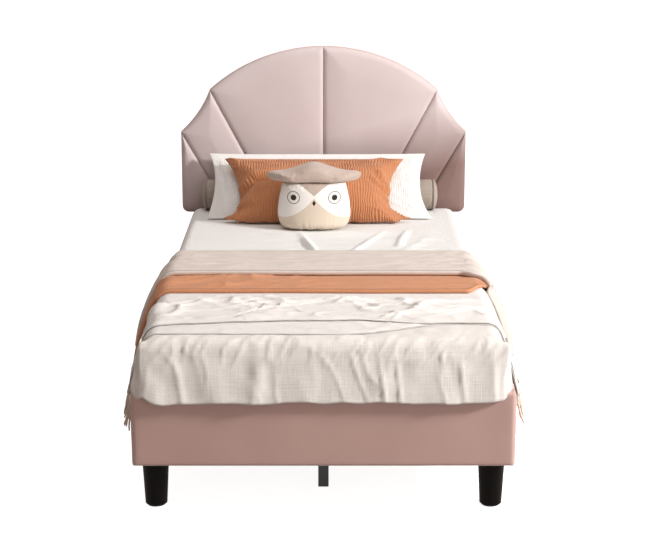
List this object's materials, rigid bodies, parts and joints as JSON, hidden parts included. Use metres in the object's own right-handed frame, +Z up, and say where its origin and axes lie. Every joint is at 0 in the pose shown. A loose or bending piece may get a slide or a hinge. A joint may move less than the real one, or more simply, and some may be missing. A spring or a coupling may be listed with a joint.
{
  "type": "upholstered platform bed",
  "caption": "Upholstered single bed: arched headboard of fanned padded panels, padded rails, tapered legs, slatted base, mattress, draped blankets and cushions.",
  "frame": {"origin": "on the floor under the middle of the bed", "axes": "+Z up, the headboard at +Y, the foot of the bed at -Y, +X to the right as seen from the foot"},
  "size_m": [1.1945, 2.0319, 1.075],
  "materials": {
    "velvet": "dusty pink velvet",
    "board": "plain plywood",
    "post_wood": "planed softwood",
    "back_cover": "black non-woven",
    "leg_black": "black, half gloss",
    "glide": "grey plastic",
    "block_wood": "planed softwood",
    "zinc": "zinc plated",
    "black_steel": "black powder coat",
    "plug": "black plastic",
    "slat_wood": "birch slat",
    "mattress": "knitted ticking",
    "sheet": "white cotton",
    "coverlet": "natural white linen",
    "throw": "natural white weave with fringe",
    "rust": "rust orange weave",
    "taupe": "taupe weave",
    "bolster": "grey beige cotton",
    "piping": "grey beige cord",
    "white_pillow": "off white crinkle weave",
    "rust_pillow": "rust orange crinkle weave",
    "owl_face": "printed beige and white plush",
    "owl_cap": "grey taupe plush"
  },
  "bodies": {
    "frame": {"headboard_pad_centre_left": "velvet", "headboard_pad_middle_left": "velvet", "headboard_pad_wing_left": "velvet", "headboard_post_left": "post_wood", "side_rail_board_left": "board", "side_rail_cover_left": "velvet", "leg_front_left": "leg_black", "leg_rear_left": "leg_black", "headboard_pad_centre_right": "velvet", "headboard_pad_middle_right": "velvet", "headboard_pad_wing_right": "velvet", "headboard_post_right": "post_wood", "side_rail_board_right": "board", "side_rail_cover_right": "velvet", "leg_front_right": "leg_black", "leg_rear_right": "leg_black", "foot_rail_board": "board", "foot_rail_cover": "velvet", "head_rail_board": "board", "head_rail_cover": "velvet", "headboard_board": "board", "headboard_border": "velvet", "headboard_back_cover": "back_cover", "headboard_bolts": "zinc", "leg_glides": "glide", "leg_studs": "zinc", "leg_blocks": "block_wood", "corner_brackets": "zinc", "corner_bolts": "zinc", "slat_cleats": "block_wood", "centre_beam": "black_steel", "beam_sockets": "black_steel", "centre_legs": "black_steel", "centre_leg_plugs": "plug", "slat_01": "slat_wood", "slat_02": "slat_wood", "slat_03": "slat_wood", "slat_04": "slat_wood", "slat_05": "slat_wood", "slat_06": "slat_wood", "slat_07": "slat_wood", "slat_08": "slat_wood", "slat_09": "slat_wood", "slat_10": "slat_wood", "slat_11": "slat_wood", "slat_12": "slat_wood"},
    "bedding": {"mattress": "mattress", "fitted_sheet": "sheet", "coverlet": "coverlet", "fringed_throw": "throw", "rust_blanket": "rust", "taupe_blanket": "taupe"},
    "bolster": {"bolster": "bolster", "bolster_piping": "piping"},
    "white_pillow": {"white_pillow": "white_pillow"},
    "rust_pillow": {"rust_pillow": "rust_pillow"},
    "owl_cushion": {"owl_body": "owl_face", "owl_cap": "owl_cap"}
  },
  "joints": [
    {"name": "mattress_lift", "type": "slide", "parent": "frame", "child": "bedding", "axis": [0, 0, 1], "range_m": [0, 0.3]},
    {"name": "bolster_lift", "type": "slide", "parent": "bedding", "child": "bolster", "axis": [0, 0, 1], "range_m": [0, 0.3]},
    {"name": "white_pillow_lift", "type": "slide", "parent": "bolster", "child": "white_pillow", "axis": [0, 0, 1], "range_m": [0, 0.3]},
    {"name": "rust_pillow_lift", "type": "slide", "parent": "white_pillow", "child": "rust_pillow", "axis": [0, 0, 1], "range_m": [0, 0.3]},
    {"name": "owl_cushion_lift", "type": "slide", "parent": "rust_pillow", "child": "owl_cushion", "axis": [0, 0, 1], "range_m": [0, 0.3]}
  ]
}
